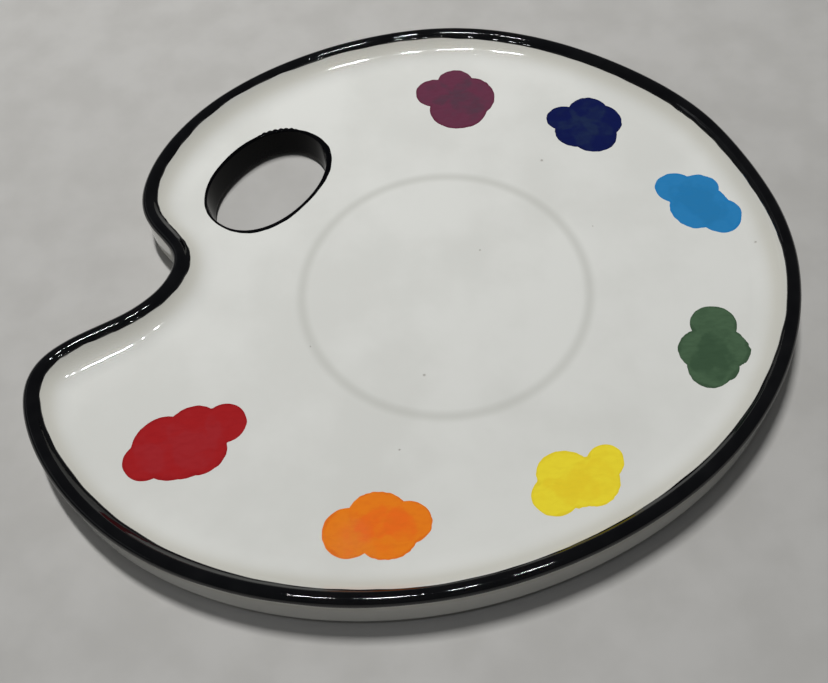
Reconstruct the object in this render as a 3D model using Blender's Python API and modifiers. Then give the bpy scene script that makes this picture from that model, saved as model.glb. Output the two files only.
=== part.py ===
"""A glazed earthenware mixing palette, 210 mm long.

One fired clay dish in the outline of a painter's palette: a flat floor, a low rounded rim, a thumb
hole, a finger notch and a turned foot ring. Black glaze covers the rim and lines the thumb hole,
and seven spots of coloured glaze lie flush in the floor. The origin is on the table, under the
middle of the outline, with +Z up.
"""

import math

import bmesh
import bpy

# Everything below is in millimetres and degrees; MM turns a length into Blender's metres.
MM = 0.001

# Control points of the closed cubic curve that the rim's outer wall follows, counter-clockwise.
# The corners are, in order: right side, back, thumb lobe, notch, horn and front.
OUTLINE = [
    (111, -11), (99, 34), (84.5, 62), (22, 105), (-62.5, 78), (-86, 27.5),
    (-61.5, 14), (-75.5, -9), (-118, -17.5), (-85, -81), (-1, -103), (81, -70),
]
OUTLINE_STEPS = 8

# Heights above the table.
FOOT_HEIGHT = 1.2
FLOOR_THICKNESS = 8.8
UNDERSIDE = FOOT_HEIGHT
FLOOR_TOP = UNDERSIDE + FLOOR_THICKNESS

# The rim's section: a rounded crest that runs tangentially into a cove, and the cove into the floor.
CREST_RADIUS = 1.6
COVE_RADIUS = 12.5
COVE_ANGLE = 51.0
BOTTOM_RADIUS = 1.2
CREST_STEPS = 5
COVE_STEPS = 5
BOTTOM_STEPS = 3

# Each glaze coat lies in a recess of its own, flush with the clay round it.
COAT = 0.5
GAP = 0.3
RECESS = COAT + GAP
BAND_BELOW_CREST = 2.3
BAND_END_ANGLE = 41.0
BAND_END_STEPS = 1

# The ring that marks a cup's seat on the floor, and the foot ring under it.
RING_CENTRE = (8.0, -5.0)
RING_RADIUS = 40.0
RING_STEPS = 72
GROOVE_WIDTH = 2.0
GROOVE_DEPTH = 0.3
FOOT_BASE_WIDTH = 3.0
FOOT_ROOT_WIDTH = 6.0
FOOT_OVERLAP = 1.0

# The thumb hole is a slightly squared oval, which narrows a little towards the underside.
HOLE_CENTRE = (-41.7, 40.2)
HOLE_HALF_LENGTH = 20.7
HOLE_HALF_WIDTH = 14.8
HOLE_ANGLE = 48.0
HOLE_SQUARENESS = 2.15
HOLE_TAPER = 0.9
HOLE_STEPS = 40
HOLE_EDGE_RADIUS = 1.0
HOLE_EDGE_STEPS = 3
HOLE_LIP = 1.2

# A cutter passes each face that it opens by this much.
CUT_PAST = 2.0

# Every spot is a few overlapping brush dabs: (x, y, half length, half width, angle).
SPOT_STEPS = 40
SPOTS = {
    "plum_spot": [
        (11.2, 69.3, 5.8, 5.8, 0), (18.2, 73.0, 5.6, 5.5, 0),
        (22.6, 66.3, 7.4, 8.2, 0), (18.2, 61.8, 9.0, 8.4, 0),
    ],
    "navy_spot": [
        (50.0, 54.0, 5.4, 5.0, 0), (57.8, 56.3, 6.0, 5.4, 0), (61.2, 51.6, 6.2, 6.6, 0),
        (58.0, 46.2, 7.0, 6.8, 0), (53.2, 48.4, 6.8, 6.4, 0),
    ],
    "sky_blue_spot": [
        (78.0, 23.2, 5.9, 5.5, 0), (84.6, 22.2, 5.9, 5.2, 0), (88.6, 11.8, 6.2, 6.2, 0),
        (82.4, 15.4, 7.4, 7.6, 0), (85.6, 16.6, 8.2, 6.2, -60),
    ],
    "green_spot": [
        (78.8, -24.2, 6.3, 5.9, 0), (80.4, -31.8, 6.8, 6.6, 0),
        (74.2, -31.8, 6.7, 6.4, 0), (74.2, -37.4, 5.8, 6.2, 0), (77.5, -34.5, 6.0, 5.0, 0),
    ],
    "yellow_spot": [
        (32.5, -63.6, 7.2, 6.4, 0), (29.4, -69.2, 6.0, 5.4, 0),
        (43.0, -61.4, 5.2, 4.6, 50), (39.4, -66.2, 6.6, 6.8, 0), (35.0, -67.5, 6.0, 5.5, 0),
    ],
    "orange_spot": [
        (-22.0, -74.0, 6.6, 6.6, 0), (-14.6, -70.0, 7.6, 6.2, 0),
        (-7.2, -72.6, 6.0, 5.6, 0), (-12.6, -74.6, 8.0, 7.2, 0),
    ],
    "red_spot": [
        (-73.6, -49.9, 5.6, 5.4, 0), (-69.0, -44.6, 8.2, 7.8, 0), (-60.6, -42.4, 7.6, 7.2, 0),
        (-52.8, -41.0, 5.8, 5.7, 0), (-59.4, -48.0, 7.4, 7.2, 0), (-66.6, -49.0, 7.4, 6.8, 0),
    ],
}

# Linear colours: clay body under its cream glaze, black glaze, and the seven colours.
COLOURS = {
    "palette_body": (0.70, 0.68, 0.60),
    "rim_band": (0.010, 0.010, 0.012),
    "thumb_hole_band": (0.010, 0.010, 0.012),
    "plum_spot": (0.13, 0.035, 0.07),
    "navy_spot": (0.012, 0.015, 0.14),
    "sky_blue_spot": (0.02, 0.18, 0.44),
    "green_spot": (0.045, 0.13, 0.045),
    "yellow_spot": (0.72, 0.60, 0.03),
    "orange_spot": (0.78, 0.20, 0.02),
    "red_spot": (0.38, 0.02, 0.025),
}
GLAZE_ROUGHNESS = 0.12


def clear_scene():
    for thing in list(bpy.data.objects):
        bpy.data.objects.remove(thing)


def new_collection(name):
    collection = bpy.data.collections.new(name)
    bpy.context.scene.collection.children.link(collection)
    return collection


def new_object(name, data, collection):
    thing = bpy.data.objects.new(name, data)
    collection.objects.link(thing)
    return thing


def turned(point, centre, degrees):
    """The point turned about the origin and then moved to the centre."""
    angle = math.radians(degrees)
    x = point[0] * math.cos(angle) - point[1] * math.sin(angle)
    y = point[0] * math.sin(angle) + point[1] * math.cos(angle)
    return centre[0] + x, centre[1] + y


def curve_object(name, points, kind, closed, collection):
    """A flat curve object through, or for NURBS near, the points."""
    curve = bpy.data.curves.new(name, "CURVE")
    curve.dimensions = "2D"
    spline = curve.splines.new(kind)
    spline.points.add(len(points) - 1)
    for spline_point, (x, y) in zip(spline.points, points):
        spline_point.co = (x * MM, y * MM, 0, 1)
    spline.use_cyclic_u = closed
    if kind == "NURBS":
        spline.order_u = 4
        curve.resolution_u = OUTLINE_STEPS
    return new_object(name, curve, collection)


def meshed(curve, name, collection):
    """A mesh object made from the evaluated curve, its seams welded; the curve is removed."""
    graph = bpy.context.evaluated_depsgraph_get()
    mesh = bpy.data.meshes.new_from_object(curve.evaluated_get(graph))
    mesh.name = name
    form = bmesh.new()
    form.from_mesh(mesh)
    bmesh.ops.remove_doubles(form, verts=form.verts, dist=0.00001)
    bmesh.ops.holes_fill(form, edges=form.edges, sides=0)
    bmesh.ops.recalc_face_normals(form, faces=form.faces)
    form.to_mesh(mesh)
    form.free()
    made = new_object(name, mesh, collection)
    made.matrix_world = curve.matrix_world
    bpy.data.objects.remove(curve)
    return made


def sweep(name, path, section, closed, collection):
    """The section, as (distance inside the path, height) points, carried round the closed path.

    An open section leaves two openings, which are filled flat.
    """
    guide = curve_object(name + "_section", section, "POLY", closed, collection)
    path.data.bevel_mode = "OBJECT"
    path.data.bevel_object = guide
    made = meshed(path, name, collection)
    bpy.data.objects.remove(guide)
    return made


def slab(name, points, grow, bottom, top, collection):
    """A flat-topped solid on the outline, grown outwards by a distance."""
    outline = curve_object(name + "_outline", points, "POLY", True, collection)
    outline.data.fill_mode = "BOTH"
    outline.data.extrude = (top - bottom) / 2 * MM
    outline.data.offset = grow * MM
    made = meshed(outline, name, collection)
    made.location.z = (top + bottom) / 2 * MM
    return made


def boolean(target, cutter, operation):
    modifier = target.modifiers.new(operation.lower() + "_" + cutter.name, "BOOLEAN")
    modifier.operation = operation
    modifier.object = cutter
    modifier.solver = "EXACT"
    cutter.hide_render = True
    cutter.display_type = "WIRE"


def arc(centre, radius, start, end, steps):
    """Points on an arc of the rim's section; the angle leans inwards from straight up."""
    points = []
    for step in range(steps + 1):
        angle = math.radians(start + (end - start) * step / steps)
        inward = centre[0] + radius * math.sin(angle)
        height = centre[1] + radius * math.cos(angle)
        points.append((inward, height))
    return points


def crest_centre():
    """Where the crest's arc has its centre, so that crest and cove share a tangent."""
    lean = math.radians(COVE_ANGLE)
    rise = (COVE_RADIUS + CREST_RADIUS) * (1 - math.cos(lean))
    return CREST_RADIUS, FLOOR_TOP + rise - CREST_RADIUS


def cove_centre():
    lean = math.radians(COVE_ANGLE)
    run = (COVE_RADIUS + CREST_RADIUS) * math.sin(lean)
    return CREST_RADIUS + run, FLOOR_TOP + COVE_RADIUS


def band_bottom():
    return crest_centre()[1] + CREST_RADIUS - BAND_BELOW_CREST


def body_section():
    """From under the floor, round the outer wall and over the crest, down to the floor."""
    underside = arc(
        (BOTTOM_RADIUS, UNDERSIDE + BOTTOM_RADIUS), BOTTOM_RADIUS, -180, -90, BOTTOM_STEPS
    )
    step = [(0, band_bottom() - GAP), (RECESS, band_bottom() - GAP)]
    crest = arc(crest_centre(), CREST_RADIUS - RECESS, -90, COVE_ANGLE, CREST_STEPS)
    lip_angle = BAND_END_ANGLE - math.degrees(GAP / COVE_RADIUS)
    lip = arc(
        cove_centre(), COVE_RADIUS + RECESS, COVE_ANGLE - 180, lip_angle - 180, BAND_END_STEPS
    )
    cove = arc(cove_centre(), COVE_RADIUS, lip_angle - 180, -180, COVE_STEPS)
    return underside + step + crest + lip[1:] + cove


def band_section():
    """The black coat: from a little way down the cove over the crest to below the shoulder."""
    outside = [(0, band_bottom())]
    inside = [(COAT, band_bottom())]
    for side, sink in ((outside, 0), (inside, COAT)):
        side += arc(crest_centre(), CREST_RADIUS - sink, -90, COVE_ANGLE, CREST_STEPS)
        side += arc(
            cove_centre(), COVE_RADIUS + sink, COVE_ANGLE - 180, BAND_END_ANGLE - 180,
            BAND_END_STEPS,
        )[1:]
    return outside + inside[::-1]


def hole_section():
    """The black coat down the thumb hole's wall, with its rounded edge and its lip on the floor."""
    corner = (-HOLE_EDGE_RADIUS, FLOOR_TOP - HOLE_EDGE_RADIUS)
    outside = arc(corner, HOLE_EDGE_RADIUS, 90, 0, HOLE_EDGE_STEPS)
    inside = arc(corner, HOLE_EDGE_RADIUS - COAT, 0, 90, HOLE_EDGE_STEPS)
    lip = [(-HOLE_LIP, FLOOR_TOP), (-HOLE_LIP, FLOOR_TOP - COAT)]
    foot = [(HOLE_TAPER - COAT, UNDERSIDE), (HOLE_TAPER, UNDERSIDE)]
    return outside + lip + inside + foot


def bore_section():
    """The clay's own tapered hole, with a rebate at the top for the coat's lip."""
    slant = HOLE_TAPER / (FLOOR_TOP - HOLE_EDGE_RADIUS - UNDERSIDE)
    rebate = -HOLE_LIP - GAP
    return [
        (HOLE_TAPER - RECESS + slant * CUT_PAST, UNDERSIDE - CUT_PAST),
        (-RECESS, FLOOR_TOP - HOLE_EDGE_RADIUS),
        (-HOLE_EDGE_RADIUS, FLOOR_TOP - RECESS),
        (rebate, FLOOR_TOP - RECESS),
        (rebate, FLOOR_TOP + CUT_PAST),
    ]


def hole_outline():
    """The oval of the finished opening."""
    points = []
    for step in range(HOLE_STEPS):
        angle = 2 * math.pi * step / HOLE_STEPS
        along = math.copysign(abs(math.cos(angle)) ** (2 / HOLE_SQUARENESS), math.cos(angle))
        across = math.copysign(abs(math.sin(angle)) ** (2 / HOLE_SQUARENESS), math.sin(angle))
        corner = (HOLE_HALF_LENGTH * along, HOLE_HALF_WIDTH * across)
        points.append(turned(corner, HOLE_CENTRE, HOLE_ANGLE))
    return points


def reach(dab, start, angle):
    """How far a ray from the start point runs before it leaves the dab, or 0 if it misses."""
    x, y, half_length, half_width, lean = dab
    offset = turned((start[0] - x, start[1] - y), (0, 0), -lean)
    turn = angle - math.radians(lean)
    direction = (math.cos(turn) / half_length, math.sin(turn) / half_width)
    origin = (offset[0] / half_length, offset[1] / half_width)
    square = direction[0] ** 2 + direction[1] ** 2
    slope = origin[0] * direction[0] + origin[1] * direction[1]
    inside = slope ** 2 - square * (origin[0] ** 2 + origin[1] ** 2 - 1)
    return (math.sqrt(inside) - slope) / square if inside > 0 else 0.0


def spot_centre(dabs):
    return tuple(sum(dab[axis] for dab in dabs) / len(dabs) for axis in (0, 1))


def spot_outline(dabs):
    """The outer edge of all the dabs together, about the spot's own centre."""
    points = []
    for step in range(SPOT_STEPS):
        angle = 2 * math.pi * step / SPOT_STEPS
        radius = max(reach(dab, spot_centre(dabs), angle) for dab in dabs)
        points.append((radius * math.cos(angle), radius * math.sin(angle)))
    return points


def make_body(parts):
    path = curve_object("body_path", OUTLINE, "NURBS", True, parts)
    return sweep("palette_body", path, body_section(), False, parts)


def make_rim_band(parts):
    path = curve_object("rim_path", OUTLINE, "NURBS", True, parts)
    return sweep("rim_band", path, band_section(), True, parts)


def make_hole_band(parts):
    path = curve_object("hole_path", hole_outline(), "POLY", True, parts)
    return sweep("thumb_hole_band", path, hole_section(), True, parts)


def add_foot_ring(body, helpers):
    """A turned ring under the floor, wider where it joins the clay."""
    root = UNDERSIDE + FOOT_OVERLAP
    section = [
        (RING_RADIUS + FOOT_ROOT_WIDTH / 2, root),
        (RING_RADIUS + FOOT_ROOT_WIDTH / 2, UNDERSIDE),
        (RING_RADIUS + FOOT_BASE_WIDTH / 2, 0),
        (RING_RADIUS - FOOT_BASE_WIDTH / 2, 0),
        (RING_RADIUS - FOOT_ROOT_WIDTH / 2, UNDERSIDE),
        (RING_RADIUS - FOOT_ROOT_WIDTH / 2, root),
    ]
    mesh = bpy.data.meshes.new("foot_ring")
    corners = [(radius * MM, 0, height * MM) for radius, height in section]
    edges = [(index, (index + 1) % len(corners)) for index in range(len(corners))]
    mesh.from_pydata(corners, edges, [])
    foot = new_object("foot_ring", mesh, helpers)
    foot.location = (RING_CENTRE[0] * MM, RING_CENTRE[1] * MM, 0)
    screw = foot.modifiers.new("turned", "SCREW")
    screw.steps = RING_STEPS
    screw.render_steps = RING_STEPS
    screw.use_merge_vertices = True
    screw.merge_threshold = 0.00001
    boolean(body, foot, "UNION")


def cut_seat_groove(body, helpers):
    """A shallow round-bottomed groove round the cup's seat."""
    half = GROOVE_WIDTH / 2
    radius = (half ** 2 + GROOVE_DEPTH ** 2) / (2 * GROOVE_DEPTH)
    height = FLOOR_TOP + radius - GROOVE_DEPTH
    bpy.ops.mesh.primitive_torus_add(
        location=(RING_CENTRE[0] * MM, RING_CENTRE[1] * MM, height * MM),
        major_radius=RING_RADIUS * MM,
        minor_radius=radius * MM,
        major_segments=RING_STEPS,
        minor_segments=14,
    )
    ring = bpy.context.object
    ring.name = "seat_groove"
    for collection in list(ring.users_collection):
        collection.objects.unlink(ring)
    helpers.objects.link(ring)
    boolean(body, ring, "DIFFERENCE")


def cut_thumb_hole(body, helpers):
    path = curve_object("bore_path", hole_outline(), "POLY", True, helpers)
    bore = sweep("hole_bore", path, bore_section(), False, helpers)
    boolean(body, bore, "DIFFERENCE")


def add_spot(name, dabs, body, parts, helpers):
    """One spot of colour, and the pocket that it fills in the floor."""
    centre = spot_centre(dabs)
    outline = spot_outline(dabs)
    spot = slab(name, outline, 0, FLOOR_TOP - COAT, FLOOR_TOP, parts)
    pocket = slab(
        name + "_pocket", outline, GAP, FLOOR_TOP - RECESS, FLOOR_TOP + CUT_PAST, helpers
    )
    for thing in (spot, pocket):
        thing.location.x = centre[0] * MM
        thing.location.y = centre[1] * MM
    boolean(body, pocket, "DIFFERENCE")
    return spot


def paint(thing):
    """Gives a part its own glossy glaze colour, and smooth shading on its round faces."""
    material = bpy.data.materials.new(thing.name + "_glaze")
    material.use_nodes = True
    shader = material.node_tree.nodes["Principled BSDF"]
    shader.inputs["Base Color"].default_value = (*COLOURS[thing.name], 1.0)
    shader.inputs["Roughness"].default_value = GLAZE_ROUGHNESS
    shader.inputs["Metallic"].default_value = 0.0
    thing.data.materials.append(material)
    thing.data.shade_smooth()
    thing.data.set_sharp_from_angle(angle=math.radians(40))


def main():
    clear_scene()
    parts = new_collection("mixing_palette")
    helpers = new_collection("cutters")
    palette = new_object("palette", None, parts)
    body = make_body(parts)
    add_foot_ring(body, helpers)
    cut_thumb_hole(body, helpers)
    cut_seat_groove(body, helpers)
    pieces = [body, make_rim_band(parts), make_hole_band(parts)]
    for name, dabs in SPOTS.items():
        pieces.append(add_spot(name, dabs, body, parts, helpers))
    for piece in pieces:
        piece.parent = palette
        paint(piece)


main()
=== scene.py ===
"""A glazed ceramic mixing palette, dressed over its CAD frame.

The dish is one lofted surface, fine enough to carry the unevenness of a hand-made glaze. The black coats
on the rim and in the thumb hole and the seven spots of colour are thin solids that lie on it, with
brushed edges. Lengths are in millimetres until a mesh is made; lights are placed in metres.
"""

import math

import bmesh
import bpy
import numpy as np
from mathutils import Matrix, Vector


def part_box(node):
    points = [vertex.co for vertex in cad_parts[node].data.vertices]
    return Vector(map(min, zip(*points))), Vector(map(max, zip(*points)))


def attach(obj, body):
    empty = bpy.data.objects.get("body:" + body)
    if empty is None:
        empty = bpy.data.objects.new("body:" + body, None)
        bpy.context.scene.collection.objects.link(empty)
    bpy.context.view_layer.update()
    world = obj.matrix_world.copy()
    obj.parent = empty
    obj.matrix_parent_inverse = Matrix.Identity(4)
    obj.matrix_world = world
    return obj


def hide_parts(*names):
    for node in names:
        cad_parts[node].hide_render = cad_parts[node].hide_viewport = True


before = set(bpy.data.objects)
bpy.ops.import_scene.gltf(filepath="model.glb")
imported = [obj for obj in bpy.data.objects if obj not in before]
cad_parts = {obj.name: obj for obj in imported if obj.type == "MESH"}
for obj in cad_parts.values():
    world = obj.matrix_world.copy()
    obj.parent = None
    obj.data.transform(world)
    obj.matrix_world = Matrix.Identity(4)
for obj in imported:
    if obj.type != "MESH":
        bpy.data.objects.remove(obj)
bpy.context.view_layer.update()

MM = 0.001

# Random phases are drawn from about a whole turn, in radians.
PHASES = 6.3

# The outline that the rim's outer wall follows, as in the CAD model, with the width in plan of the
# black band beside each of its control points.
OUTLINE = [
    (111, -11, 3.2), (99, 34, 4.7), (84.5, 62, 4.2), (22, 105, 4.4), (-62.5, 78, 3.1), (-86, 27.5, 4.7),
    (-61.5, 14, 5.0), (-75.5, -9, 3.7), (-118, -17.5, 3.9), (-85, -81, 6.1), (-1, -103, 3.0), (81, -70, 5.2),
]

# How finely surfaces are cut: points round the outline, the thumb hole, its cutter and each spot, the
# step along the rim's section and along its arcs, and the angle in degrees from which an edge is sharp.
ROUND = 480
HOLE_ROUND = 360
CUTTER_ROUND = 240
SPOT_ROUND = 200
SECTION_STEP = 0.5
ARC_STEP = 0.1
SHARP_ANGLE = 50

# Heights come from the frame.
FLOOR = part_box("plum_spot")[1].z / MM
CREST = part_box("rim_band")[1].z / MM
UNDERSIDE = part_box("thumb_hole_band")[0].z / MM

# The rim's section.
CREST_RADIUS = 1.9
COVE_RADIUS = 11.6
COVE_ANGLE = 52.2
BOTTOM_RADIUS = 1.2

# Unevenness by hand: how far the crest sways and rises, over how long a stretch of the section this
# fades out at the underside, and how far the floor and the underside undulate.
SWAY = 0.16
RISE = 0.14
SETTLING = 6
FLOOR_UNEVENNESS = 0.10
UNDERSIDE_UNEVENNESS = 0.12

# The cup's seat and the foot ring below it.
RING_CENTRE = np.array([8.0, -5.0])
RING_RADIUS = 40.0
GROOVE_HALF_WIDTH = 2.2
GROOVE_DEPTH = 0.15
FOOT_OUTER = (43.3, 41.5)
FOOT_INNER = (38.5, 36.7)
BARE_FOOT_HEIGHT = 0.2
BARE_FOOT_BLUR = 0.12

# The thumb hole. The clay is cut a little wider than its black coat, and the cutter runs past both faces.
HOLE_CENTRE = np.array([-41.7, 40.2])
HOLE_HALF_LENGTH = 20.7
HOLE_HALF_WIDTH = 14.8
HOLE_ANGLE = 48.0
HOLE_SQUARENESS = 2.15
HOLE_TAPER = 0.9
HOLE_EDGE = 0.5
HOLE_CLAY_OUTSET = 0.2
CUT_PAST = 2

# How far the hole's black glaze laps onto the floor: (direction from its middle in degrees, width). It
# laps under the dish by one width all round.
HOLE_LIP = [
    (-180, 0.7), (-150, 0.7), (-125, 0.8), (-105, 1.4), (-90, 1.4), (-70, 1.4), (-45, 1.1), (-20, 1.2),
    (0, 1.6), (30, 1.7), (60, 0.65), (90, 0.8), (130, 0.9), (160, 0.75), (180, 0.7),
]
LIP_WANDER = 0.08
LIP_NOTCH = 0.5
UNDER_LAP = 0.6
UNDER_LAP_EDGE = 0.2

# Black glaze: how far it stands off the clay, how far its hidden side and its edges lie in it, where the
# rim band's lower edge is below the crest, how its edges wander, and the bead along its inner edge.
COAT = 0.10
COAT_UNEVENNESS = 0.25
BURIED = 0.22
TUCKED = 0.05
BAND_LOWER_EDGE = 3.15
BAND_WANDER = 0.16
BAND_FINE_WANDER = 0.10
BAND_LOWER_WANDER = 0.3
BAND_INNER_ROUNDING = 0.3
BAND_LOWER_ROUNDING = 0.6
BEAD_HEIGHT = 0.22
BEAD_PLACE = 0.45
BEAD_WIDTH = 0.22

# The dabs of each spot: (x, y, half length, half width, angle in degrees), in the order they were laid.
SPOTS = {
    "plum_spot": [
        (11.2, 69.3, 5.8, 5.8, 0), (18.2, 73.0, 5.6, 5.5, 0),
        (22.6, 66.3, 7.4, 8.2, 0), (18.2, 61.8, 9.0, 8.4, 0),
    ],
    "navy_spot": [
        (50.0, 54.0, 5.4, 5.0, 0), (57.8, 56.3, 6.0, 5.4, 0), (61.2, 51.6, 6.2, 6.6, 0),
        (58.0, 46.2, 7.0, 6.8, 0), (53.2, 48.4, 6.8, 6.4, 0),
    ],
    "sky_blue_spot": [
        (78.0, 23.2, 5.9, 5.5, 0), (84.6, 22.2, 5.9, 5.2, 0), (88.6, 11.8, 6.2, 6.2, 0),
        (82.4, 15.4, 7.4, 7.6, 0), (80.8, 18.6, 7.0, 5.0, -50), (85.6, 16.6, 8.2, 6.2, -60),
    ],
    "green_spot": [
        (78.6, -24.2, 6.3, 5.9, 0), (79.2, -31.6, 6.9, 6.6, 0),
        (74.2, -31.8, 6.7, 6.4, 0), (74.6, -37.2, 5.8, 6.2, 0), (75.6, -34.8, 7.6, 6.2, -50),
    ],
    "yellow_spot": [
        (32.5, -63.6, 7.2, 6.4, 0), (29.4, -69.2, 6.0, 5.4, 0),
        (43.0, -61.4, 5.2, 4.6, 50), (39.4, -66.2, 6.6, 6.8, 0), (35.0, -67.5, 6.0, 5.5, 0),
    ],
    "orange_spot": [
        (-22.0, -74.0, 6.6, 6.6, 0), (-14.6, -70.0, 7.6, 6.2, 0),
        (-7.2, -72.6, 6.0, 5.6, 0), (-12.6, -74.6, 8.0, 7.2, 0),
    ],
    "red_spot": [
        (-73.2, -50.0, 5.8, 5.6, 0), (-69.2, -45.8, 8.6, 7.6, 55), (-60.6, -42.4, 7.6, 7.2, 0),
        (-52.8, -41.0, 5.8, 5.7, 0), (-59.4, -48.0, 7.4, 7.2, 0), (-64.0, -49.4, 10.4, 6.6, 8),
    ],
}
SPOT_THICKNESS = 0.025
SPOT_BURIED_EDGE = 0.025
SPOT_EDGE = 1.2
SPOT_EDGE_HIDDEN = 0.55
SPOT_WANDER = 0.14
SPOT_UNEVENNESS = 0.3

# Each spot's colour where one dab lies on the white, where dabs overlap, and along a dab's edge.
COLOURS = {
    "plum_spot": ((0.125, 0.032, 0.060), (0.084, 0.038, 0.058), (0.105, 0.018, 0.038)),
    "navy_spot": ((0.003, 0.007, 0.064), (0.010, 0.020, 0.064), (0.003, 0.005, 0.042)),
    "sky_blue_spot": ((0.024, 0.200, 0.44), (0.020, 0.180, 0.395), (0.011, 0.180, 0.44)),
    "green_spot": ((0.066, 0.120, 0.064), (0.044, 0.086, 0.045), (0.032, 0.064, 0.033)),
    "yellow_spot": ((0.85, 0.69, 0.034), (0.82, 0.61, 0.026), (0.72, 0.54, 0.022)),
    "orange_spot": ((0.82, 0.21, 0.011), (0.84, 0.150, 0.012), (0.70, 0.130, 0.010)),
    "red_spot": ((0.35, 0.012, 0.014), (0.34, 0.018, 0.022), (0.27, 0.007, 0.010)),
}

# The other colours: the white glaze where it is thin and thick, the painted shade laid in the cove and
#  what the glaze pools to in the seat's groove, and how strongly each is laid, and the darker and lighter
#  shades of the clay, the black and the table, with how strongly the black mirrors on the rim and in the
#  hole.
WHITE = ((0.640, 0.632, 0.588), (0.690, 0.682, 0.638))
# Painted shade: the colour that the cove is darkened and warmed towards, as if it lay in shade.
COVE_SHADE_COLOUR = (0.555, 0.530, 0.450)
WHITE_IN_GROOVE = (0.455, 0.450, 0.405)
PINHOLE_BROWN = (0.20, 0.17, 0.13)
COVE_SHADE_STRENGTH = 0.55
GROOVE_TINT = 0.42
PINHOLE_TINT = 0.5
BARE_CLAY = ((0.50, 0.44, 0.34), (0.62, 0.56, 0.46))
BLACK = ((0.0012, 0.0012, 0.0018), (0.004, 0.004, 0.0045))
RIM_REFLECTION = 0.5
HOLE_REFLECTION = 0.08
TABLE = ((0.42, 0.405, 0.380), (0.46, 0.445, 0.420))
TABLE_ROUGHNESS = 0.55

# Pinholes in the white glaze: (x, y, radius).
PINHOLES = [
    (41.0, 38.0, 0.55), (19.0, 7.0, 0.35), (0.0, -32.0, 0.5), (-8.0, -53.0, 0.35), (96.0, 1.0, 0.4),
    (-30.0, -20.0, 0.25), (52.0, 12.0, 0.22),
]

# Seeds of the random lines and waves. The spots' own run on from the first.
SEEDS = {
    "crest_sway": 11, "crest_rise": 12, "floor": 13, "band_inner": 21, "band_fine": 22, "band_lower": 23,
    "band_coat": 24, "bead": 25, "hole_lip": 31, "first_spot": 41,
}

# The light, in metres: a soft key light and a fill from the left that don't show in the glaze, a row of
# narrow lamps overhead that draws the thin bright lines on it, each with its place along the row and its
# length, and a faint long strip on the left that draws a line along the black band.
KEY_PLACE = (-0.08, 0.27, 1.2)
KEY_AIM = (-0.12, 0.25, 0.0)
KEY_SIZE = (0.26, 0.05)
KEY_POWER = 5.35
KEY_SPREAD = 110
LAMPS = [(-0.25, 0.09), (-0.07, 0.12), (0.09, 0.05), (0.24, 0.08)]
LAMP_ROW = -0.18
LAMP_HEIGHT = 1.2
LAMP_DEPTH = 0.013
LAMP_AIM = (-0.05, 0.1, 0.0)
LAMP_POWER = 3.2
LAMP_SPREAD = 64
LAMP_COLOUR = (0.97, 0.985, 1.0)
FILL_PLACE = (-1.4, 0.0, 0.7)
FILL_SIZE = (0.9, 0.9)
FILL_POWER = 2.4
STRIP_PLACE = (-1.4, 0.15, 0.72)
STRIP_SIZE = (2.4, 0.10)
STRIP_POWER = 0.42
SIDE_COLOUR = (0.96, 0.98, 1.0)
ROOM_COLOUR = (0.92, 0.96, 1.0)
ROOM_LIGHT = 0.08
TABLE_SIZE = 6.0

# The camera: its place, how far it looks down and how far it is turned about its own axis in degrees,
# and its focal length for a sensor of this width.
CAMERA_PLACE = (-1.95, -166.2, 249.0)
CAMERA_PITCH = 58.78
CAMERA_ROLL = -5.02
CAMERA_LENS = 45.0
CAMERA_SENSOR = 36.0


# ---------------------------------------------------------------- curves and sections, in millimetres


def outward(line):
    """The outward normals in plan of a dense closed line that runs anticlockwise."""
    ahead = np.roll(line, -1, 0) - np.roll(line, 1, 0)
    normal = np.stack([ahead[:, 1], -ahead[:, 0]], 1)
    return normal / np.linalg.norm(normal, axis=1)[:, None]


def closed_curve(points, count):
    """Places and outward normals round the closed uniform cubic curve near the points.

    A point's further numbers, such as the band's width there, are carried along the curve with its place.
    """
    points = np.asarray(points, float)
    along = np.arange(count) * len(points) / count
    first = along.astype(int)
    t = (along - first)[:, None]
    a, b, c, d = (points[(first + k) % len(points)] for k in range(4))
    place = a * (1 - t) ** 3 + b * (3 * t**3 - 6 * t**2 + 4)
    place = (place + c * (-3 * t**3 + 3 * t**2 + 3 * t + 1) + d * t**3) / 6
    return place, outward(place)


def waves(seed, count, shortest, longest):
    """Random plane waves: their frequencies along x and y, their phases and their lengths."""
    rng = np.random.default_rng(seed)
    length = np.exp(rng.uniform(math.log(shortest), math.log(longest), count))
    heading = rng.uniform(0, 2 * math.pi, count)
    frequency = 2 * math.pi / length
    phase = rng.uniform(0, PHASES, count)
    return frequency * np.cos(heading), frequency * np.sin(heading), phase, length


def ripple(x, y, field):
    """The sum of the waves at a point, about 1 high, the long ones counting most."""
    kx, ky, phase, length = field
    share = length / length.sum()
    total = 0
    for index in range(len(kx)):
        total = total + share[index] * np.sin(kx[index] * x + ky[index] * y + phase[index])
    return 2 * total


def wander(count, seed, lowest, highest):
    """A smooth random line round a closed loop, about 1 high, from that many to that many waves."""
    rng = np.random.default_rng(seed)
    turn = 2 * math.pi * np.arange(count) / count
    total = np.zeros(count)
    for wave in range(lowest, highest + 1):
        total += rng.normal() * np.sin(wave * turn + rng.uniform(0, PHASES)) / math.sqrt(wave)
    return total / np.abs(total).max()


def smooth(value, low, high):
    """0 below low, 1 above high, and an S between; low may be above high."""
    t = np.clip((value - low) / (high - low), 0, 1)
    return t * t * (3 - 2 * t)


def bend(centre, radius, start, end, side):
    """An arc of the rim's section, and its normals: angles lean inwards from straight up."""
    steps = max(2, int(abs(math.radians(end - start)) * radius / ARC_STEP))
    lean = np.radians(np.linspace(start, end, steps))
    spoke = np.stack([np.sin(lean), np.cos(lean)], 1)
    return np.asarray(centre) + radius * spoke, side * spoke


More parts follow.
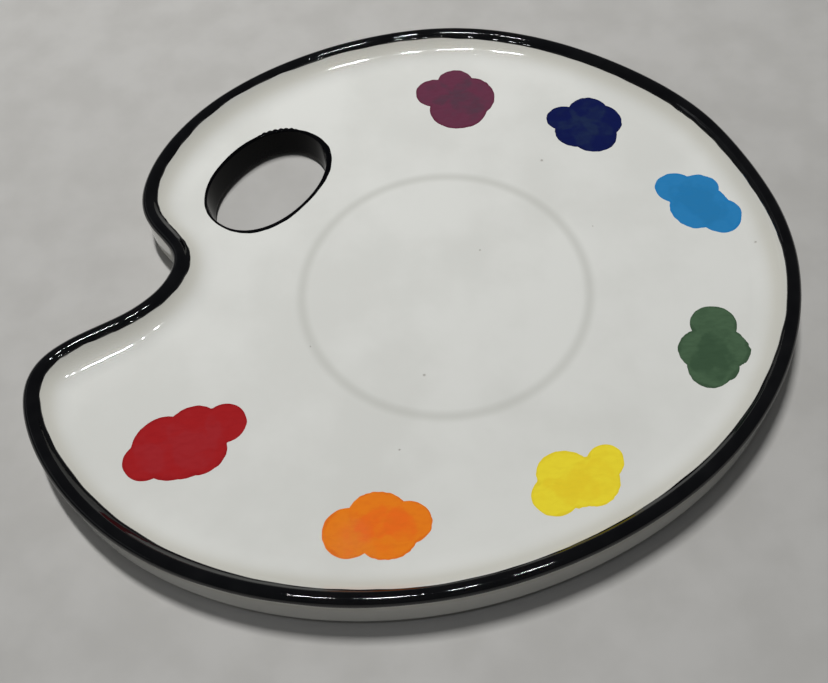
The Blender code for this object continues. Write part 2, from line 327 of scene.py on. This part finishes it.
def rim_section():
    """The rim's section from the floor over the crest to the underside.

    Returns the distance run, and for each the (inward, up) place and normal.
    """
    lean = math.radians(COVE_ANGLE)
    crest = (CREST_RADIUS, CREST - CREST_RADIUS)
    cove = (CREST_RADIUS + (COVE_RADIUS + CREST_RADIUS) * math.sin(lean), FLOOR + COVE_RADIUS)
    bottom = (BOTTOM_RADIUS, UNDERSIDE + BOTTOM_RADIUS)
    stretches = [
        bend(cove, COVE_RADIUS, -180, COVE_ANGLE - 180, -1),
        bend(crest, CREST_RADIUS, COVE_ANGLE, -90, 1),
        bend(bottom, BOTTOM_RADIUS, -90, -180, 1),
    ]
    place = np.concatenate([stretch[0] for stretch in stretches])
    normal = np.concatenate([stretch[1] for stretch in stretches])
    step = np.linalg.norm(np.diff(place, axis=0), axis=1)
    run = np.concatenate([[0], np.cumsum(step)])
    return run, place, normal


RUN, SECTION, SECTION_NORMAL = rim_section()
COVE_TOP = COVE_RADIUS * math.radians(COVE_ANGLE)
CREST_TOP = COVE_TOP + CREST_RADIUS * math.radians(COVE_ANGLE)
WALL_FACE = np.argmin(SECTION[:, 0])

WALL, WALL_NORMAL = closed_curve(OUTLINE, ROUND)
BAND_WIDTH = WALL[:, 2]
WALL = WALL[:, :2]
CREST_SWAY = SWAY * wander(ROUND, SEEDS["crest_sway"], 2, 9)
CREST_RISE = RISE * wander(ROUND, SEEDS["crest_rise"], 2, 12)
UNEVEN = waves(SEEDS["floor"], 14, 16, 90)


def run_at_inward(inward):
    """The distance run along the section's upper side to where it lies that far in from the wall."""
    return np.interp(-inward, -SECTION[:WALL_FACE, 0], RUN[:WALL_FACE])


def on_rim(run, off):
    """Points at a distance run along the section and a distance off its surface, for each spoke."""
    run, off = np.broadcast_arrays(run, off)
    inward, up = (np.interp(run, RUN, SECTION[:, k]) for k in (0, 1))
    across, rise = (np.interp(run, RUN, SECTION_NORMAL[:, k]) for k in (0, 1))
    loose = np.interp(run, [0, COVE_TOP, RUN[-1] - SETTLING, RUN[-1]], [0, 1, 1, 0])
    inward = inward + across * off - loose * CREST_SWAY
    up = up + rise * off + loose * CREST_RISE
    plan = WALL - WALL_NORMAL * inward[..., None]
    settled = 1 - smooth(run, 0, COVE_TOP)
    up = up + settled * lift(plan[..., 0], plan[..., 1])
    return np.concatenate([plan, up[..., None]], -1)


def lift(x, y):
    """How far the glazed floor stands above or below true flat."""
    return FLOOR_UNEVENNESS * ripple(x, y, UNEVEN)


def groove(x, y):
    """How deep the seat's soft groove is at a place."""
    from_centre = np.hypot(x - RING_CENTRE[0], y - RING_CENTRE[1])
    turn = np.arctan2(y - RING_CENTRE[1], x - RING_CENTRE[0])
    radius = RING_RADIUS + 0.25 * np.sin(2 * turn + 0.6) + 0.12 * np.sin(5 * turn + 2.0)
    depth = GROOVE_DEPTH * (0.85 + 0.15 * np.sin(3 * turn + 1.0))
    inside = np.clip(np.abs(from_centre - radius) / GROOVE_HALF_WIDTH, 0, 1)
    return depth * (0.5 + 0.5 * np.cos(math.pi * inside))


def hole_line(count):
    """Places and outward normals round the thumb hole's edge."""
    turn = 2 * math.pi * np.arange(count) / count
    power = 2 / HOLE_SQUARENESS
    along = HOLE_HALF_LENGTH * np.sign(np.cos(turn)) * np.abs(np.cos(turn)) ** power
    across = HOLE_HALF_WIDTH * np.sign(np.sin(turn)) * np.abs(np.sin(turn)) ** power
    lean = math.radians(HOLE_ANGLE)
    x = HOLE_CENTRE[0] + along * math.cos(lean) - across * math.sin(lean)
    y = HOLE_CENTRE[1] + along * math.sin(lean) + across * math.cos(lean)
    place = np.stack([x, y], 1)
    return place, outward(place)


def distance_to(line, x, y, batch=4000):
    """How far each place is from the nearest point of a dense closed line, some places at a time."""
    places = np.stack([np.ravel(x), np.ravel(y)], 1)
    nearest = np.empty(len(places))
    for start in range(0, len(places), batch):
        apart = places[start:start + batch, None, :] - line[None, :, :]
        nearest[start:start + batch] = np.sqrt((apart**2).sum(-1).min(1))
    return nearest.reshape(np.shape(x))


# ---------------------------------------------------------------- meshes


def loft(name, rows, wrap=False, start=None, end=None):
    """A closed mesh through rows of points, each row a closed loop.

    The last row meets the first if wrap is true, and otherwise the start and end points close the ends.
    """
    rows = np.asarray(rows)
    count, spokes = rows.shape[:2]
    points = rows.reshape(-1, 3)
    index = np.arange(count * spokes).reshape(count, spokes)
    below = index if wrap else index[:-1]
    above = np.roll(index, -1, 0) if wrap else index[1:]
    corners = [below, np.roll(below, -1, 1), np.roll(above, -1, 1), above]
    faces = np.stack(corners, -1).reshape(-1, 4).tolist()
    if not wrap:
        points = np.concatenate([points, [start, end]])
        for ring, tip in ((index[0], count * spokes), (index[-1], count * spokes + 1)):
            faces += [(a, b, tip) for a, b in zip(ring.tolist(), np.roll(ring, -1).tolist())]
    mesh = bpy.data.meshes.new(name)
    mesh.from_pydata((points * MM).tolist(), [], faces)
    form = bmesh.new()
    form.from_mesh(mesh)
    bmesh.ops.recalc_face_normals(form, faces=form.faces)
    form.to_mesh(mesh)
    form.free()
    mesh.shade_smooth()
    thing = bpy.data.objects.new(name, mesh)
    bpy.context.scene.collection.objects.link(thing)
    return thing


def disc_rows(boundary, radii, between):
    """Plan rows from the boundary in towards the ring's centre: even steps at first, then circles."""
    spoke = boundary - RING_CENTRE
    length = np.linalg.norm(spoke, axis=1)
    direction = spoke / length[:, None]
    rows = [length + (radii[0] - length) * (step / between) for step in range(1, between)]
    rows += [np.full(len(length), radius) for radius in radii]
    return np.array([RING_CENTRE + direction * row[:, None] for row in rows])


def floor_rows():
    """The floor inside the rim, from the centre out."""
    near_groove = np.arange(RING_RADIUS + 4.6, RING_RADIUS - 4.6, -0.35)
    inside = np.linspace(RING_RADIUS - 5, 1.5, 14)
    boundary = on_rim(np.zeros((1, ROUND)), 0.0)[0, :, :2]
    plan = disc_rows(boundary, np.concatenate([near_groove, inside]), between=42)[::-1]
    x, y = plan[..., 0], plan[..., 1]
    height = FLOOR + lift(x, y) - groove(x, y)
    return np.concatenate([plan, height[..., None]], -1)


def underside_rows():
    """The underside with its foot ring, from the outer wall in."""
    near_foot = np.arange(RING_RADIUS + 5, RING_RADIUS - 5, -0.4)
    inside = np.linspace(RING_RADIUS - 6, 2, 8)
    boundary = on_rim(np.full((1, ROUND), RUN[-1]), 0.0)[0, :, :2]
    plan = disc_rows(boundary, np.concatenate([near_foot, inside]), between=18)
    x, y = plan[..., 0], plan[..., 1]
    radius = np.hypot(x - RING_CENTRE[0], y - RING_CENTRE[1])
    foot = smooth(radius, *FOOT_OUTER) * smooth(radius, FOOT_INNER[1], FOOT_INNER[0])
    height = (1 - foot) * (UNDERSIDE + UNDERSIDE_UNEVENNESS * ripple(x, y, UNEVEN))
    from_wall = np.linspace(0, 1, 8)
    fade = np.ones(len(plan))
    fade[:len(from_wall)] = from_wall
    height = UNDERSIDE + (height - UNDERSIDE) * np.maximum(fade[:, None], foot)
    return np.concatenate([plan, height[..., None]], -1)


def make_dish():
    """The clay under its white glaze, with the thumb hole cut through."""
    inner = floor_rows()
    rim = on_rim(np.arange(0, RUN[-1], SECTION_STEP)[:, None] * np.ones((1, ROUND)), 0.0)
    last = on_rim(np.full((1, ROUND), RUN[-1]), 0.0)
    outer = underside_rows()
    middle = (*RING_CENTRE, FLOOR + lift(*RING_CENTRE))
    under = (*RING_CENTRE, outer[-1, :, 2].mean())
    dish = loft("clay_dish", np.concatenate([inner, rim, last, outer]), start=middle, end=under)
    line, normal = hole_line(CUTTER_ROUND)
    lowest, highest = UNDERSIDE - CUT_PAST, FLOOR + CUT_PAST
    depths = [(HOLE_TAPER, lowest), (0, FLOOR - HOLE_EDGE), (0, highest)]
    wall = [
        np.c_[line - normal * (inward - HOLE_CLAY_OUTSET), np.full(len(line), height)]
        for inward, height in depths
    ]
    cutter = loft("hole_cutter", wall, start=(*HOLE_CENTRE, lowest), end=(*HOLE_CENTRE, highest))
    cut = dish.modifiers.new("thumb_hole", "BOOLEAN")
    cut.object = cutter
    cut.solver = "EXACT"
    graph = bpy.context.evaluated_depsgraph_get()
    dish.data = bpy.data.meshes.new_from_object(dish.evaluated_get(graph))
    dish.modifiers.clear()
    bpy.data.objects.remove(cutter)
    dish.data.shade_smooth()
    dish.data.set_sharp_from_angle(angle=math.radians(SHARP_ANGLE))
    return dish


def rounded(distance, radius):
    """A coat's thickness near its edge, as a share of the whole: a quarter round of that radius."""
    return np.sqrt(1 - (1 - np.clip(distance / radius, 0, 1)) ** 2)


def make_band():
    """The black glaze over the rim: its edges wander, and it is pooled in a bead on the cove."""
    width = BAND_WIDTH + BAND_WANDER * wander(ROUND, SEEDS["band_inner"], 6, 60)
    width = width + BAND_FINE_WANDER * wander(ROUND, SEEDS["band_fine"], 40, 120)
    inner = run_at_inward(width)
    lower = CREST_TOP + BAND_LOWER_EDGE + BAND_LOWER_WANDER * wander(ROUND, SEEDS["band_lower"], 5, 50)
    share = np.linspace(0, 1, 50)[:, None] ** 1.7
    run = inner + (lower - inner) * share
    coat = COAT * (1 + COAT_UNEVENNESS * wander(ROUND, SEEDS["band_coat"], 8, 40))
    bead = BEAD_HEIGHT * np.clip(0.4 + 0.9 * wander(ROUND, SEEDS["bead"], 18, 110), 0, None)
    off = coat * rounded(run - inner, BAND_INNER_ROUNDING) * rounded(lower - run, BAND_LOWER_ROUNDING)
    off = off + bead * np.exp(-(((run - inner - BEAD_PLACE) / BEAD_WIDTH) ** 2))
    off[[0, -1]] = -TUCKED
    back = np.linspace(1, 0, 12)[1:-1, None]
    hidden = on_rim(inner + (lower - inner) * back, -BURIED)
    return loft("rim_black_glaze", np.concatenate([on_rim(run, off), hidden]), wrap=True)


def hole_section():
    """The thumb hole's wall in section, from its top edge to its bottom edge.

    Each row is (inward, up) and the (inward, up) of the surface's normal there.
    """
    top = np.radians(np.linspace(0, 90, 8))
    wall = np.linspace(0, 1, 12)[1:-1]
    bottom = np.radians(np.linspace(90, 180, 8))
    height = FLOOR - UNDERSIDE - 2 * HOLE_EDGE
    points = []
    for lean in top:
        spoke = (math.sin(lean), math.cos(lean))
        points.append((
            HOLE_EDGE * (spoke[0] - 1), FLOOR + HOLE_EDGE * (spoke[1] - 1), *spoke,
        ))
    for share in wall:
        points.append((HOLE_TAPER * share, FLOOR - HOLE_EDGE - height * share, 1.0, 0.0))
    for lean in bottom:
        spoke = (math.sin(lean), math.cos(lean))
        points.append((
            HOLE_TAPER + HOLE_EDGE * (spoke[0] - 1), UNDERSIDE + HOLE_EDGE * (spoke[1] + 1), *spoke,
        ))
    return points


def hole_lip(turn):
    """How far the black glaze laps onto the floor, by the direction from the hole's middle.

    Along a short stretch at the far side its edge is notched, as a loaded brush leaves it.
    """
    lip = np.interp(turn, *zip(*HOLE_LIP)) + LIP_WANDER * wander(len(turn), SEEDS["hole_lip"], 5, 40)
    notched = smooth(turn, 60, 68) * (1 - smooth(turn, 92, 100))
    return lip + notched * LIP_NOTCH * np.abs(np.sin(np.arange(len(turn)) * 0.55))


def make_hole_coat():
    """The black glaze in the thumb hole, lapping onto the floor by a hand-drawn width."""
    line, normal = hole_line(HOLE_ROUND)
    turn = np.degrees(np.arctan2(line[:, 1] - HOLE_CENTRE[1], line[:, 0] - HOLE_CENTRE[0]))
    lip = hole_lip(turn)

    def row(inward, up, across, rise, off):
        plan = line - normal * np.broadcast_to(inward + across * off, len(line))[:, None]
        settled = np.clip((up - UNDERSIDE) / (FLOOR - UNDERSIDE), 0, 1)
        return np.c_[plan, up + rise * off + settled * lift(plan[:, 0], plan[:, 1])]

    section = hole_section()
    outside = [row(-lip, FLOOR, 0, 1, -TUCKED)]
    for share in np.linspace(0, 1, 8)[1:-1]:
        inward = -lip + (lip - HOLE_EDGE) * share**1.5
        outside.append(row(inward, FLOOR, 0, 1, COAT * float(rounded(share, 0.4))))
    outside += [row(*point, COAT) for point in section]
    under = HOLE_TAPER - HOLE_EDGE - UNDER_LAP
    outside.append(row(under, UNDERSIDE, 0, -1, COAT))
    outside.append(row(under - UNDER_LAP_EDGE, UNDERSIDE, 0, -1, -TUCKED))
    hidden = [row(*point, -BURIED) for point in section[::-2]]
    hidden.append(row(-lip + 0.3, FLOOR, 0, 1, -BURIED))
    return loft("thumb_hole_black_glaze", outside + hidden, wrap=True)


def reach_of(dab, start, turn):
    """How far rays from the start run before they leave the dab; 0 where they miss it."""
    x, y, half_length, half_width, lean = dab
    lean = math.radians(lean)
    away = np.array([start[0] - x, start[1] - y])
    origin = np.array([
        (away[0] * math.cos(lean) + away[1] * math.sin(lean)) / half_length,
        (away[1] * math.cos(lean) - away[0] * math.sin(lean)) / half_width,
    ])
    direction = np.stack([np.cos(turn - lean) / half_length, np.sin(turn - lean) / half_width])
    square = (direction**2).sum(0)
    slope = origin @ direction
    inside = slope**2 - square * (origin @ origin - 1)
    return np.where(inside > 0, (np.sqrt(np.maximum(inside, 0)) - slope) / square, 0)


def surface_height(x, y):
    """The dish's top surface at a place on the floor or the foot of the cove."""
    outline = closed_curve(OUTLINE, 5 * ROUND)[0][:, :2]
    run = run_at_inward(distance_to(outline, x, y))
    rise = np.interp(run, RUN, SECTION[:, 1]) - FLOOR
    return FLOOR + rise + lift(x, y) * (1 - smooth(run, 0, COVE_TOP)) - groove(x, y)


def make_spot(name, dabs, seed):
    """One spot of colour: the outline of its dabs together, a thin coat with a soft edge."""
    centre = np.array([[dab[0], dab[1]] for dab in dabs]).mean(0)
    turn = 2 * math.pi * np.arange(SPOT_ROUND) / SPOT_ROUND
    edge = np.max([reach_of(dab, centre, turn) for dab in dabs], 0)
    edge = edge + SPOT_EDGE_HIDDEN + SPOT_WANDER * wander(SPOT_ROUND, seed, 6, 40)
    inner = np.linspace(0.06, 1, 22)[:-1, None] * (edge - SPOT_EDGE)
    rim = edge - SPOT_EDGE * (1 - np.linspace(0, 1, 8))[:, None]
    radius = np.concatenate([inner, rim])
    x = centre[0] + radius * np.cos(turn)
    y = centre[1] + radius * np.sin(turn)
    body = smooth(edge - radius, 0, SPOT_EDGE)
    uneven = 1 + SPOT_UNEVENNESS * ripple(x, y, waves(seed, 8, 4, 12))
    ground = surface_height(x, y)
    top = ground + (SPOT_THICKNESS * uneven + SPOT_BURIED_EDGE) * body - SPOT_BURIED_EDGE
    bottom = ground - BURIED
    rows = np.concatenate([
        np.stack([x, y, top], -1),
        np.stack([x, y, bottom], -1)[::-3],
    ])
    start = (*centre, top[0].mean())
    end = (*centre, bottom[0].mean())
    return loft(name.replace("_spot", "_glaze_dabs"), rows, start=start, end=end)


# ---------------------------------------------------------------- materials


class Glaze:
    """A Principled material with short ways to add the nodes that these glazes need."""

    def __init__(self, name):
        self.material = bpy.data.materials.new(name)
        self.material.use_nodes = True
        self.tree = self.material.node_tree
        self.shader = self.tree.nodes["Principled BSDF"]
        self.place = self.add("ShaderNodeTexCoord", {}).outputs["Object"]

    def add(self, kind, inputs, **settings):
        node = self.tree.nodes.new(kind)
        for setting, value in settings.items():
            setattr(node, setting, value)
        for socket, value in inputs.items():
            self.set(node.inputs[socket], value)
        return node

    def set(self, socket, value):
        """Give a socket a value, or link it where the value is another node's output."""
        if isinstance(value, bpy.types.NodeSocket):
            self.tree.links.new(value, socket)
        else:
            socket.default_value = value

    def sum(self, operation, first, second=0.0):
        return self.add("ShaderNodeMath", {0: first, 1: second}, operation=operation).outputs[0]

    def vector(self, operation, first, second=(0, 0, 0)):
        node = self.add("ShaderNodeVectorMath", {0: first, 1: second}, operation=operation)
        return node.outputs["Value" if operation == "LENGTH" else "Vector"]

    def ramp(self, value, low, high, first=0.0, last=1.0):
        """An S-shaped change from first to last as the value goes from low to high."""
        inputs = {"Value": value, 1: low, 2: high, 3: first, 4: last}
        return self.add("ShaderNodeMapRange", inputs, interpolation_type="SMOOTHSTEP").outputs[0]

    def mix(self, share, first, second):
        node = self.add("ShaderNodeMix", {0: share}, data_type="RGBA")
        self.set(node.inputs[6], first)
        self.set(node.inputs[7], second)
        return node.outputs[2]

    def noise(self, scale, detail=2.0, place=None, output="Fac"):
        inputs = {"Vector": place or self.place, "Scale": scale, "Detail": detail}
        return self.add("ShaderNodeTexNoise", inputs).outputs[output]

    def bump(self, height, distance):
        inputs = {"Height": height, "Distance": distance, "Strength": 1.0}
        self.set(self.shader.inputs["Normal"], self.add("ShaderNodeBump", inputs).outputs[0])

    def flat_place(self):
        """The place with its height taken out, so that it measures in plan."""
        return self.vector("MULTIPLY", self.place, (1, 1, 0))

    def from_point(self, x, y):
        """The distance in plan from a point, in metres."""
        away = self.vector("SUBTRACT", self.flat_place(), (x * MM, y * MM, 0))
        return self.vector("LENGTH", away)


def rgba(colour):
    return (*colour, 1.0)


def white_glaze():
    """Warm white glaze: cloudy, with painted shade in the cove, pooling in the seat's groove, pinholed, bare
    on the foot.
    """
    glaze = Glaze("white_glaze")
    colour = glaze.mix(glaze.ramp(glaze.noise(38, 4), 0.35, 0.68), rgba(WHITE[0]), rgba(WHITE[1]))
    height = glaze.add("ShaderNodeSeparateXYZ", {0: glaze.place}).outputs["Z"]
    # Painted shade: a band up the cove, between the floor and the crest, is made darker and warmer as if
    # shaded.
    cove = glaze.sum(
        "MULTIPLY", glaze.ramp(height, (FLOOR + 0.1) * MM, (FLOOR + 2.2) * MM),
        glaze.ramp(height, (CREST - 0.4) * MM, (CREST - 2.2) * MM),
    )
    colour = glaze.mix(glaze.sum("MULTIPLY", cove, COVE_SHADE_STRENGTH), colour, rgba(COVE_SHADE_COLOUR))
    ring = glaze.from_point(*RING_CENTRE)
    off_ring = glaze.sum("ABSOLUTE", glaze.sum("SUBTRACT", ring, RING_RADIUS * MM))
    pooled = glaze.ramp(off_ring, 2.4 * MM, 0.0)
    on_top = glaze.ramp(height, (FLOOR - 1.5) * MM, (FLOOR - 1.0) * MM)
    pooled = glaze.sum("MULTIPLY", glaze.sum("MULTIPLY", pooled, on_top), GROOVE_TINT)
    colour = glaze.mix(pooled, colour, rgba(WHITE_IN_GROOVE))
    pits = None
    for x, y, radius in PINHOLES:
        pit = glaze.ramp(glaze.from_point(x, y), radius * MM, 0.3 * radius * MM)
        pits = pit if pits is None else glaze.sum("MAXIMUM", pits, pit)
    pits = glaze.sum("MULTIPLY", pits, on_top)
    colour = glaze.mix(glaze.sum("MULTIPLY", pits, PINHOLE_TINT), colour, rgba(PINHOLE_BROWN))
    bare = glaze.ramp(
        height, (BARE_FOOT_HEIGHT + BARE_FOOT_BLUR) * MM, (BARE_FOOT_HEIGHT - BARE_FOOT_BLUR) * MM
    )
    grit = glaze.noise(1500, 3)
    clay = glaze.mix(grit, rgba(BARE_CLAY[0]), rgba(BARE_CLAY[1]))
    glaze.set(glaze.shader.inputs["Base Color"], glaze.mix(bare, colour, clay))
    rough = glaze.ramp(glaze.noise(220, 3), 0.3, 0.75, 0.035, 0.065)
    rough = glaze.sum("ADD", rough, glaze.sum("MULTIPLY", bare, 0.6))
    glaze.set(glaze.shader.inputs["Roughness"], rough)
    peel = glaze.sum("MULTIPLY", glaze.noise(420, 1), 0.6)
    peel = glaze.sum("ADD", peel, glaze.sum("MULTIPLY", glaze.noise(150, 1), 1.2))
    peel = glaze.sum("SUBTRACT", peel, glaze.sum("MULTIPLY", pits, 6.0))
    peel = glaze.sum("ADD", peel, glaze.sum("MULTIPLY", glaze.sum("MULTIPLY", grit, bare), 4.0))
    glaze.bump(peel, 0.02 * MM)
    return glaze.material


def black_glaze(name, reflection):
    """Gloss black with brushed streaks that break up its shine a little."""
    glaze = Glaze(name)
    glaze.shader.inputs["Specular IOR Level"].default_value = reflection
    colour = glaze.mix(glaze.ramp(glaze.noise(130, 5), 0.3, 0.8), rgba(BLACK[0]), rgba(BLACK[1]))
    glaze.set(glaze.shader.inputs["Base Color"], colour)
    glaze.set(glaze.shader.inputs["Roughness"], glaze.ramp(glaze.noise(300, 3), 0.3, 0.75, 0.02, 0.05))
    waviness = glaze.sum("ADD", glaze.noise(160, 3), glaze.sum("MULTIPLY", glaze.noise(700, 2), 0.3))
    glaze.bump(waviness, 0.06 * MM)
    return glaze.material


def dab_glaze(name, dabs, colours):
    """Coloured glaze in brushed dabs: paler where one lies alone, deeper where they overlap."""
    single, double, rim = (rgba(colour) for colour in colours)
    glaze = Glaze(name)
    drift = glaze.vector("SUBTRACT", glaze.noise(260, 3, output="Color"), (0.5, 0.5, 0.5))
    drift = glaze.vector("MULTIPLY", drift, (3 * MM, 3 * MM, 0))
    place = glaze.vector("ADD", glaze.flat_place(), drift)
    layers = None
    nearest = None
    for x, y, half_length, half_width, lean in dabs:
        inside = glaze.add("ShaderNodeMapping", {
            "Vector": place,
            "Location": (x * MM, y * MM, 0),
            "Rotation": (0, 0, math.radians(lean)),
            "Scale": (half_length * MM, half_width * MM, 1),
        }, vector_type="TEXTURE").outputs[0]
        out = glaze.vector("LENGTH", inside)
        cover = glaze.ramp(out, 1.02, 0.80)
        layers = cover if layers is None else glaze.sum("ADD", layers, cover)
        nearest = out if nearest is None else glaze.sum("MINIMUM", nearest, out)
    body = glaze.ramp(glaze.noise(240, 4), 0.25, 0.78, -0.8, 0.8)
    depth = glaze.ramp(glaze.sum("ADD", layers, body), 0.7, 3.0)
    colour = glaze.mix(depth, single, double)
    edge = glaze.sum("MULTIPLY", glaze.ramp(nearest, 0.86, 1.0), 0.6)
    colour = glaze.mix(edge, colour, rim)
    streaks = glaze.vector("MULTIPLY", place, (0.35, 1.0, 1.0))
    streaks = glaze.ramp(glaze.noise(900, 3, place=streaks), 0.35, 0.80)
    colour = glaze.mix(glaze.sum("MULTIPLY", streaks, 0.32), colour, rim)
    glaze.set(glaze.shader.inputs["Base Color"], colour)
    glaze.set(glaze.shader.inputs["Roughness"], glaze.ramp(glaze.noise(500, 3), 0.3, 0.75, 0.06, 0.13))
    glaze.bump(glaze.noise(420, 2), 0.008 * MM)
    return glaze.material


def table_top():
    """A plain pale table top."""
    glaze = Glaze("table_top")
    colour = glaze.mix(glaze.ramp(glaze.noise(60, 3), 0.3, 0.7), rgba(TABLE[0]), rgba(TABLE[1]))
    glaze.set(glaze.shader.inputs["Base Color"], colour)
    glaze.shader.inputs["Roughness"].default_value = TABLE_ROUGHNESS
    return glaze.material


# ---------------------------------------------------------------- the scene


def dress(piece, material, node):
    """Give a piece its material, and let it stand for a CAD node."""
    piece.data.materials.clear()
    piece.data.materials.append(material)
    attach(piece, "root")
    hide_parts(node)


def make_palette():
    dress(make_dish(), white_glaze(), "palette_body")
    dress(make_band(), black_glaze("rim_black", RIM_REFLECTION), "rim_band")
    dress(make_hole_coat(), black_glaze("hole_black", HOLE_REFLECTION), "thumb_hole_band")
    for seed, (name, dabs) in enumerate(SPOTS.items(), start=SEEDS["first_spot"]):
        slot = name.replace("_spot", "_glaze")
        material = dab_glaze(slot, dabs, COLOURS[name])
        dress(make_spot(name, dabs, seed), material, name)


def make_floor():
    bpy.ops.mesh.primitive_plane_add(size=TABLE_SIZE, location=(0, 0, 0))
    floor = bpy.context.object
    floor.name = "table_top"
    floor.data.materials.append(table_top())


def area_light(name, place, target, size, power, colour, spread=180):
    """A rectangular light at a place, facing the target; all in metres."""
    data = bpy.data.lights.new(name, "AREA")
    data.shape = "RECTANGLE"
    data.size, data.size_y = size
    data.energy = power
    data.color = colour
    data.spread = math.radians(spread)
    lamp = bpy.data.objects.new(name, data)
    lamp.location = place
    lamp.rotation_euler = (Vector(target) - Vector(place)).to_track_quat("-Z", "Y").to_euler()
    bpy.context.scene.collection.objects.link(lamp)
    return lamp


def make_lights():
    """Soft light from above and from the left, narrow lamps for the glaze to mirror, and a dim room."""
    world = bpy.data.worlds.new("studio")
    world.use_nodes = True
    backdrop = world.node_tree.nodes["Background"]
    backdrop.inputs["Color"].default_value = rgba(ROOM_COLOUR)
    backdrop.inputs["Strength"].default_value = ROOM_LIGHT
    bpy.context.scene.world = world
    key = area_light("key_light", KEY_PLACE, KEY_AIM, KEY_SIZE, KEY_POWER, LAMP_COLOUR, KEY_SPREAD)
    key.visible_glossy = False
    for number, (x, length) in enumerate(LAMPS):
        lamp = area_light(
            f"ceiling_lamp_{number}", (x, LAMP_ROW, LAMP_HEIGHT), (LAMP_AIM[0] + x, *LAMP_AIM[1:]),
            (length, LAMP_DEPTH), LAMP_POWER * length, LAMP_COLOUR, LAMP_SPREAD,
        )
        lamp.visible_diffuse = False
    fill = area_light("left_fill", FILL_PLACE, (0, 0, 0), FILL_SIZE, FILL_POWER, SIDE_COLOUR)
    fill.visible_glossy = False
    strip = area_light("left_strip", STRIP_PLACE, (0, 0, 0), STRIP_SIZE, STRIP_POWER, SIDE_COLOUR)
    strip.visible_diffuse = False


def make_camera():
    """The camera looks down along +Y, turned a little about its own axis."""
    data = bpy.data.cameras.new("camera")
    data.lens = CAMERA_LENS
    data.sensor_width = CAMERA_SENSOR
    data.clip_start = 0.01
    pitch = math.radians(CAMERA_PITCH)
    roll = math.radians(CAMERA_ROLL)
    right = Vector((1, 0, 0))
    ahead = Vector((0, math.cos(pitch), -math.sin(pitch)))
    up = Vector((0, math.sin(pitch), math.cos(pitch)))
    side = right * math.cos(roll) + up * math.sin(roll)
    top = up * math.cos(roll) - right * math.sin(roll)
    camera = bpy.data.objects.new("camera", data)
    turn = Matrix((side, top, -ahead)).transposed()
    camera.matrix_world = Matrix.Translation(Vector(CAMERA_PLACE) * MM) @ turn.to_4x4()
    bpy.context.scene.collection.objects.link(camera)
    bpy.context.scene.camera = camera


make_camera()
make_palette()
make_floor()
make_lights()
bpy.context.scene.view_settings.view_transform = "Standard"
